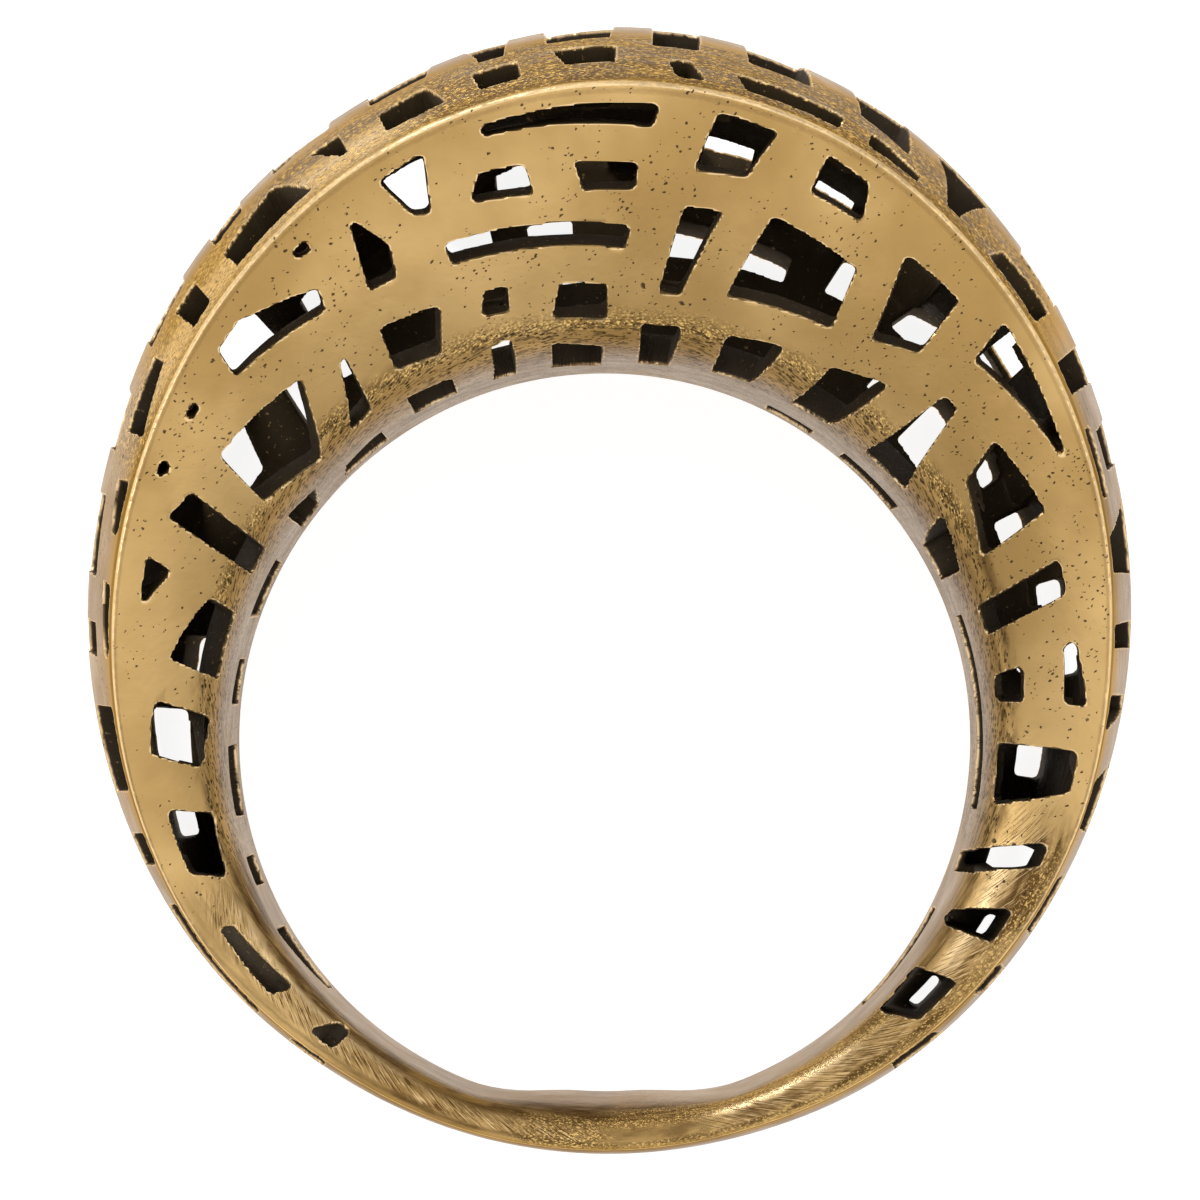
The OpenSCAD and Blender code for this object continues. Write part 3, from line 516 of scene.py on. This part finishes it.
# Where each kind of mark shows, alike on both sides: clock from and to, lap from and to, how
# softly the lap ends, amount
marks = {
    # the rows along the fold on the face side, clocks -108 to 104 at laps about 0.93 to 1.10, are painted
    # shade; the other rows are stains
    "stainAndFoldShade": [
        (124, 163, 0.12, 0.40, 0.06, 1.0), (100, 126, 0.05, 0.50, 0.10, 1.3),
        (163, 181, 0.12, 0.42, 0.08, 0.7), (-181, -136, 0.14, 0.42, 0.07, 0.9),
        (104, 140, 0.95, 1.25, 0.06, 0.75), (-181, -108, 0.92, 1.45, 0.08, 1.0),
        (165, 181, 0.98, 1.40, 0.08, 0.9), (106, 181, 0.0, 1.0, 0.1, 0.75),
        (-181, -110, 0.0, 1.0, 0.1, 0.45), (50, 104, 0.93, 1.04, 0.05, 0.9),
        (-108, -28, 0.94, 1.03, 0.04, 0.80), (-28, 50, 0.96, 1.10, 0.05, 0.50),
        (-34, 44, -0.42, -0.03, 0.06, 1.8), (44, 80, -0.30, -0.02, 0.06, 0.55),
        (-181, -104, -0.60, -0.03, 0.08, 0.55), (110, 181, -0.60, -0.04, 0.08, 0.45),
    ],
    "glitter": [
        (-60, 46, -0.44, -0.02, 0.06, 1.0), (-80, 60, 0.97, 1.07, 0.03, 0.9),
        (104, 181, 0.02, 0.30, 0.06, 0.6), (130, 181, 0.80, 1.30, 0.10, 0.6),
        (-181, -168, 0.05, 1.10, 0.10, 0.9),
    ],
    "greyed": [
        (-181, -50, -2.0, -0.10, 0.10, 0.75), (-50, 50, -2.0, -0.52, 0.10, 0.85),
        (50, 181, -2.0, -0.12, 0.10, 0.90), (-181, 181, 1.24, 3.0, 0.18, 0.90),
    ],
    "brushed": [(100, 165, 0.30, 0.85, 0.08, 0.9), (-181, -112, 0.34, 0.86, 0.08, 1.0)],
    "streaked": [(-181, -105, 0.95, 1.45, 0.10, 1.0), (100, 181, 1.0, 1.45, 0.10, 0.7)],
    "dashed": [(-106, 104, 1.02, 2.1, 0.06, 1.0)],
    "pitted": [
        (-110, 110, 0.66, 0.98, 0.20, 1.0), (-110, 110, 0.02, 0.6, 0.05, 0.34),
        (40, 104, 0.10, 0.98, 0.10, 1.0), (-110, 110, -0.9, -0.1, 0.1, 0.3),
    ],
    # painted highlights: these rows put the worn colour where the ring shows its highlights, and lower
    # the roughness there
    "paintedHighlight": [
        (141, 163, 0.72, 0.94, 0.06, 1.0), (-52, -18, -0.22, -0.03, 0.05, 0.8),
        (106, 125, 0.62, 0.84, 0.08, 0.7), (-150, -115, 0.80, 0.92, 0.06, 0.6),
    ],
}
clockSoft = 4


def markAt(rows):
    value = np.zeros(len(points))
    for clock1, clock2, lap1, lap2, soft, amount in rows:
        across = smooth(clockAt, clock1 - clockSoft, clock1 + clockSoft) if clock1 > -180 else 1
        across = across * (smooth(clockAt, clock2 + clockSoft, clock2 - clockSoft) if clock2 < 180 else 1)
        along = smooth(sideLap, lap1 - soft, lap1 + soft)
        along = along * smooth(sideLap, lap2 + soft, lap2 - soft)
        value = np.maximum(value, amount * across * along)
    return value


def store(name, values):
    kind = "FLOAT_VECTOR" if values.ndim > 1 else "FLOAT"
    layer = piece.data.attributes.new(name, kind, "POINT")
    layer.data.foreach_set("vector" if values.ndim > 1 else "value", values.reshape(-1))


for name, rows in marks.items():
    store(name, markAt(rows))
store("depth", depthAt)
store("lap", sideLap)
# Two ways to unroll the skin in millimetres: round the ring with no seam, and flat with its
# seam at the top of the dome
unrollRadius = 10
angle = np.radians(clockAt)
wholeTurn = np.where(angle < 0, angle + 2 * math.pi, angle)
store("unrolled", np.stack([unrollRadius * np.sin(angle), unrollRadius * np.cos(angle), girthAt], -1))
store("flat", np.stack([unrollRadius * wholeTurn, girthAt, 0 * angle], -1))
print("surface marks")

piece.data.transform(toGround)
deselect()
bpy.context.view_layer.objects.active = piece
piece.select_set(True)
bpy.ops.object.shade_smooth_by_angle(angle=math.radians(ring["shadedAsOne"]))

brass = {
    "light": (0.59, 0.390, 0.160, 1),
    "deep": (0.37, 0.228, 0.078, 1),
    # the worn colour is rubbed metal on the ridge, rims and grains, and also the painted highlights
    "wornAndHighlight": (0.90, 0.66, 0.36, 1),         # on rims and grains
    "gold": (0.90, 0.60, 0.20, 1),         # grains in the stains
    "brown": (0.10, 0.050, 0.013, 1),
    "grey": (0.255, 0.180, 0.125, 1),
    "pit": (0.035, 0.022, 0.012, 1),
    "patina": (0.036, 0.024, 0.012, 1),
    "edgeTint": (0.76, 0.56, 0.33, 1),     # of what the metal mirrors at a slant
    "greyEdge": (1.0, 0.93, 0.86, 1),
    "roughness": 0.36,
    # how fine the noises are, per metre
    "cloud": 170,
    "clusters": 800,
    "mottle": 600,
    "unevenness": 900,
    "rubbing": 6000,
    "grit": 9000,
    # how long one mark is each way: round the ring twice and across, in millimetres
    "patch": (1.2, 1.2, 0.25),
    "glitter": (0.07, 0.07, 0.04),
    "crease": (0.5, 0.5, 0.22),
    "streak": (3, 3, 0.07),
    "dash": (0.16, 0.16, 0.085),
    "line": (0.30, 0.30, 0.07),
    # scratches on the flat unrolling: along and across, and how they lean in degrees
    "scratch": (0.55, 0.028, 1),
    "scratchLean": 26,
    # pits, in metres, and how far their outlines are shaken
    "pitCell": (0.00016, 0.00009, 0.00010),
    "largePitCell": (0.0006, 0.0004, 0.0005),
    "shake": 0.00012,
    "bump": 0.00005,
}


def link(tree, value, socket):
    if isinstance(value, bpy.types.NodeSocket):
        tree.links.new(value, socket)
    else:
        socket.default_value = value


def calc(tree, what, a, b):
    n = tree.nodes.new("ShaderNodeMath")
    n.operation = what
    link(tree, a, n.inputs[0])
    link(tree, b, n.inputs[1])
    return n.outputs[0]


def times(tree, *values):
    result = values[0]
    for value in values[1:]:
        result = calc(tree, "MULTIPLY", result, value)
    return result


def plus(tree, a, b):
    return calc(tree, "ADD", a, b)


def minus(tree, a, b):
    return calc(tree, "SUBTRACT", a, b)


def larger(tree, a, b):
    return calc(tree, "MAXIMUM", a, b)


def step(tree, value, low, high, to0=0.0, to1=1.0):
    n = tree.nodes.new("ShaderNodeMapRange")
    n.interpolation_type = "SMOOTHSTEP"
    for k, x in enumerate((value, low, high, to0, to1)):
        link(tree, x, n.inputs[k])
    return n.outputs[0]


def between(tree, value, low1, low2, high1, high2):  # up from low1 to low2, down from high1 to high2
    return times(tree, step(tree, value, low1, low2), step(tree, value, high2, high1))


def mix(tree, amount, a, b):
    n = tree.nodes.new("ShaderNodeMix")
    n.data_type = "RGBA"
    link(tree, amount, n.inputs[0])
    link(tree, a, n.inputs[6])
    link(tree, b, n.inputs[7])
    return n.outputs[2]


def noise(tree, where, scale, detail=3, rough=0.5):
    n = tree.nodes.new("ShaderNodeTexNoise")
    link(tree, where, n.inputs["Vector"])
    n.inputs["Scale"].default_value = scale
    n.inputs["Detail"].default_value = detail
    n.inputs["Roughness"].default_value = rough
    return n.outputs[0]


def turned(tree, where, degrees, size):  # size is how long a mark is each way
    n = tree.nodes.new("ShaderNodeMapping")
    n.vector_type = "TEXTURE"
    link(tree, where, n.inputs["Vector"])
    n.inputs["Rotation"].default_value = (0, 0, math.radians(degrees))
    n.inputs["Scale"].default_value = size
    return n.outputs[0]


def stretched(tree, where, size, detail=3, rough=0.6):  # noise whose marks have this size
    return noise(tree, turned(tree, where, 0, size), 1, detail, rough)


def attribute(tree, name, output="Fac"):
    n = tree.nodes.new("ShaderNodeAttribute")
    n.attribute_name = name
    return n.outputs[output]


def flecks(tree, where, share, smallest, largest):  # one fleck in a share of the cells
    cells = tree.nodes.new("ShaderNodeTexVoronoi")
    link(tree, where, cells.inputs["Vector"])
    cells.inputs["Scale"].default_value = 1
    chance = tree.nodes.new("ShaderNodeSeparateColor")
    tree.links.new(cells.outputs["Color"], chance.inputs[0])
    size = step(tree, chance.outputs[1], 0, 1, smallest, largest)
    here = calc(tree, "LESS_THAN", chance.outputs[0], share)
    fleck = step(tree, cells.outputs["Distance"], times(tree, size, 0.6), size, 1, 0)
    return times(tree, here, fleck)


def shakenSpot(tree, spot):  # so that the pits' outlines are uneven
    wobble = tree.nodes.new("ShaderNodeTexNoise")
    wobble.inputs["Scale"].default_value = brass["grit"]
    link(tree, spot, wobble.inputs["Vector"])
    shaken = tree.nodes.new("ShaderNodeVectorMath")
    shaken.operation = "MULTIPLY_ADD"
    tree.links.new(wobble.outputs["Color"], shaken.inputs[0])
    shaken.inputs[1].default_value = (brass["shake"],) * 3
    tree.links.new(spot, shaken.inputs[2])
    return shaken.outputs[0]


def pits(tree, spot, pitted):  # in loose clusters
    shaken = shakenSpot(tree, spot)
    cluster = step(tree, noise(tree, spot, brass["clusters"], 3, 0.6), 0.46, 0.64, 0.10, 1.3)
    fine = turned(tree, shaken, 35, brass["pitCell"])
    pit = flecks(tree, fine, times(tree, pitted, cluster, 3.2), 0.05, 0.32)
    broad = turned(tree, shaken, -20, brass["largePitCell"])
    large = flecks(tree, broad, times(tree, pitted, cluster, 0.45), 0.04, 0.17)
    return larger(tree, pit, large)


def dashes(tree, around, dashed):  # round the finger hole
    cell = turned(tree, around, 0, brass["dash"])
    run = flecks(tree, cell, times(tree, dashed, 1.1), 0.16, 0.52)
    lines = step(tree, stretched(tree, around, brass["line"], 2, 0.5), 0.54, 0.60)
    dash = larger(tree, run, times(tree, lines, 0.7))
    return times(tree, dash, step(tree, dashed, 0, 0.3))


def makeBrass():
    material = bpy.data.materials.new("antiquedBrass")
    material.use_nodes = True
    tree = material.node_tree
    shader = tree.nodes["Principled BSDF"]
    spot = tree.nodes.new("ShaderNodeTexCoord").outputs["Object"]
    depth = attribute(tree, "depth")
    lap = attribute(tree, "lap")
    around = attribute(tree, "unrolled", "Vector")
    flat = attribute(tree, "flat", "Vector")
    shows = {name: attribute(tree, name) for name in marks}

    # satin gold, greyer on the dome and inside the finger hole
    cloud = step(tree, noise(tree, spot, brass["cloud"], 4), 0.35, 0.65, 0, 0.9)
    colour = mix(tree, cloud, brass["deep"], brass["light"])
    mottle = step(tree, noise(tree, spot, brass["mottle"], 3), 0.3, 0.7, 0.7, 1)
    colour = mix(tree, times(tree, shows["greyed"], mottle), colour, brass["grey"])

    # a rubbed line along the ridge, with a brown one on each side of it
    onRidge = between(tree, lap, -0.020, -0.012, 0.008, 0.016)
    colour = mix(tree, times(tree, onRidge, 0.9), colour, brass["wornAndHighlight"])
    domeSide = between(tree, lap, -0.070, -0.045, -0.026, -0.018)
    faceSide = between(tree, lap, 0.018, 0.026, 0.035, 0.05)
    beside = plus(tree, domeSide, times(tree, faceSide, 0.4))
    colour = mix(tree, times(tree, beside, 0.6), colour, brass["brown"])

    # stains, among them painted shade along the fold; painted highlights in the worn colour; and glitter
    patchy = step(tree, stretched(tree, around, brass["patch"], 4), 0.38, 0.62, 0.3, 1)
    stainedAndFoldShaded = times(tree, shows["stainAndFoldShade"], patchy)
    colour = mix(tree, stainedAndFoldShaded, colour, brass["brown"])
    # painted highlights in the worn colour
    colour = mix(tree, times(tree, shows["paintedHighlight"], 0.85), colour, brass["wornAndHighlight"])
    grains = stretched(tree, around, brass["glitter"])
    bright = times(tree, shows["glitter"], step(tree, grains, 0.55, 0.60))
    colour = mix(tree, bright, colour, brass["gold"])
    dull = times(tree, shows["glitter"], step(tree, grains, 0.50, 0.38, 0, 0.8))
    colour = mix(tree, dull, colour, brass["brown"])

    # scratches that lean across the thin band, and streaks that run round it
    leaning = noise(tree, turned(tree, flat, brass["scratchLean"], brass["scratch"]), 1, 2, 0.5)
    scratch = times(tree, shows["brushed"], step(tree, leaning, 0.57, 0.62))
    glint = times(tree, shows["brushed"], step(tree, leaning, 0.44, 0.36, 0, 0.5))
    running = stretched(tree, around, brass["streak"])
    streak = times(tree, shows["streaked"], step(tree, running, 0.50, 0.62, 0, 0.8))
    marked = larger(tree, scratch, streak)
    colour = mix(tree, times(tree, marked, 0.9), colour, brass["brown"])
    colour = mix(tree, glint, colour, brass["wornAndHighlight"])

    hole = larger(tree, pits(tree, spot, shows["pitted"]), dashes(tree, around, shows["dashed"]))
    colour = mix(tree, times(tree, hole, 0.9), colour, brass["pit"])

    # rims rubbed bright, dark inside the gaps and the hollow with bright grains left
    rim = between(tree, depth, 0.012, 0.025, 0.045, 0.065)
    colour = mix(tree, times(tree, rim, 0.6), colour, brass["wornAndHighlight"])
    inside = step(tree, depth, 0.055, 0.09)
    dark = times(tree, inside, step(tree, noise(tree, spot, brass["grit"], 2), 0.66, 0.74, 1, 0.45))
    colour = mix(tree, dark, colour, brass["patina"])

    base = brass["roughness"]
    uneven = noise(tree, spot, brass["unevenness"], 4)
    rough = step(tree, uneven, 0.3, 0.7, base - 0.05, base + 0.07)
    rough = plus(tree, rough, times(tree, dark, 0.36))
    rough = minus(tree, rough, times(tree, shows["paintedHighlight"], 0.14))
    edge = mix(tree, shows["greyed"], brass["edgeTint"], brass["greyEdge"])
    # the metal is a little duller in the stains and in the painted shade along the fold
    stainAndShadeDulling = times(tree, stainedAndFoldShaded, minus(tree, 1, bright), 0.35)
    metal = minus(tree, step(tree, dark, 0, 1, 1, 0.4), stainAndShadeDulling)
    tree.links.new(colour, shader.inputs["Base Color"])
    tree.links.new(edge, shader.inputs["Specular Tint"])
    tree.links.new(rough, shader.inputs["Roughness"])
    tree.links.new(larger(tree, metal, 0.25), shader.inputs["Metallic"])

    wavy = times(tree, noise(tree, spot, brass["unevenness"], 3), 0.3)
    rubbed = times(tree, noise(tree, spot, brass["rubbing"], 3), 0.22)
    rubbed = plus(tree, rubbed, times(tree, grains, shows["glitter"], 1.2))
    creased = stretched(tree, around, brass["crease"])
    rubbed = plus(tree, rubbed, times(tree, creased, shows["greyed"], 1.4))
    rubbed = minus(tree, rubbed, times(tree, marked, 0.5))
    lift = minus(tree, plus(tree, wavy, rubbed), times(tree, hole, 0.8))
    bump = tree.nodes.new("ShaderNodeBump")
    bump.inputs["Strength"].default_value = 0.5
    bump.inputs["Distance"].default_value = brass["bump"]
    tree.links.new(lift, bump.inputs["Height"])
    tree.links.new(bump.outputs["Normal"], shader.inputs["Normal"])
    return material


piece.data.materials.clear()
piece.data.materials.append(makeBrass())
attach(piece, "root")
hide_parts("openwork_ring")
print("material")

studio = {
    "floor": (0.30, 0.30, 0.30, 1),
    "floorSize": 1.2,
    "glow": 0.88,                          # the floor is a light table
    "world": 0.80,
    # watts, size and place in metres
    "front": (0.30, 0.40, (0.03, -0.08, 0.28)),
    "key": (0.60, 0.13, (-0.17, 0.30, 0.18)),
    "side": (0.15, 0.15, (-0.28, -0.08, 0.18)),
    "aim": (0, 0, 0.005),
    "cameraAt": (-0.11, 3.2, 130),         # on the ring's own axes, millimetres
    "lens": 168.8,
}


def makeStudio():
    deselect()
    bpy.ops.mesh.primitive_plane_add(size=studio["floorSize"])
    floor = bpy.context.object
    floor.name = "floor"
    paint = bpy.data.materials.new("paleFloor")
    paint.use_nodes = True
    shader = paint.node_tree.nodes["Principled BSDF"]
    shader.inputs["Base Color"].default_value = studio["floor"]
    shader.inputs["Roughness"].default_value = 0.8
    shader.inputs["Emission Color"].default_value = (1, 1, 1, 1)
    shader.inputs["Emission Strength"].default_value = studio["glow"]
    floor.data.materials.append(paint)
    for name in ("front", "key", "side"):
        power, size, at = studio[name]
        bpy.ops.object.light_add(type="AREA", location=at)
        lamp = bpy.context.object
        lamp.name = name
        lamp.data.energy = power
        lamp.data.size = size
        way = Vector(studio["aim"]) - Vector(at)
        lamp.rotation_euler = way.to_track_quat("-Z", "Y").to_euler()
    world = bpy.data.worlds.new("studio")
    world.use_nodes = True
    world.node_tree.nodes["Background"].inputs["Color"].default_value = (1, 1, 1, 1)
    world.node_tree.nodes["Background"].inputs["Strength"].default_value = studio["world"]
    bpy.context.scene.world = world


def makeCamera():
    data = bpy.data.cameras.new("camera")
    camera = bpy.data.objects.new("camera", data)
    bpy.context.collection.objects.link(camera)
    data.lens = studio["lens"]
    data.sensor_width = 36
    data.clip_start = 0.01
    camera.location = toGround @ Vector(studio["cameraAt"])
    camera.rotation_euler = (math.radians(rest["lean"]), 0, 0)
    bpy.context.scene.camera = camera


makeStudio()
makeCamera()
bpy.context.scene.view_settings.view_transform = "Standard"
print("studio")
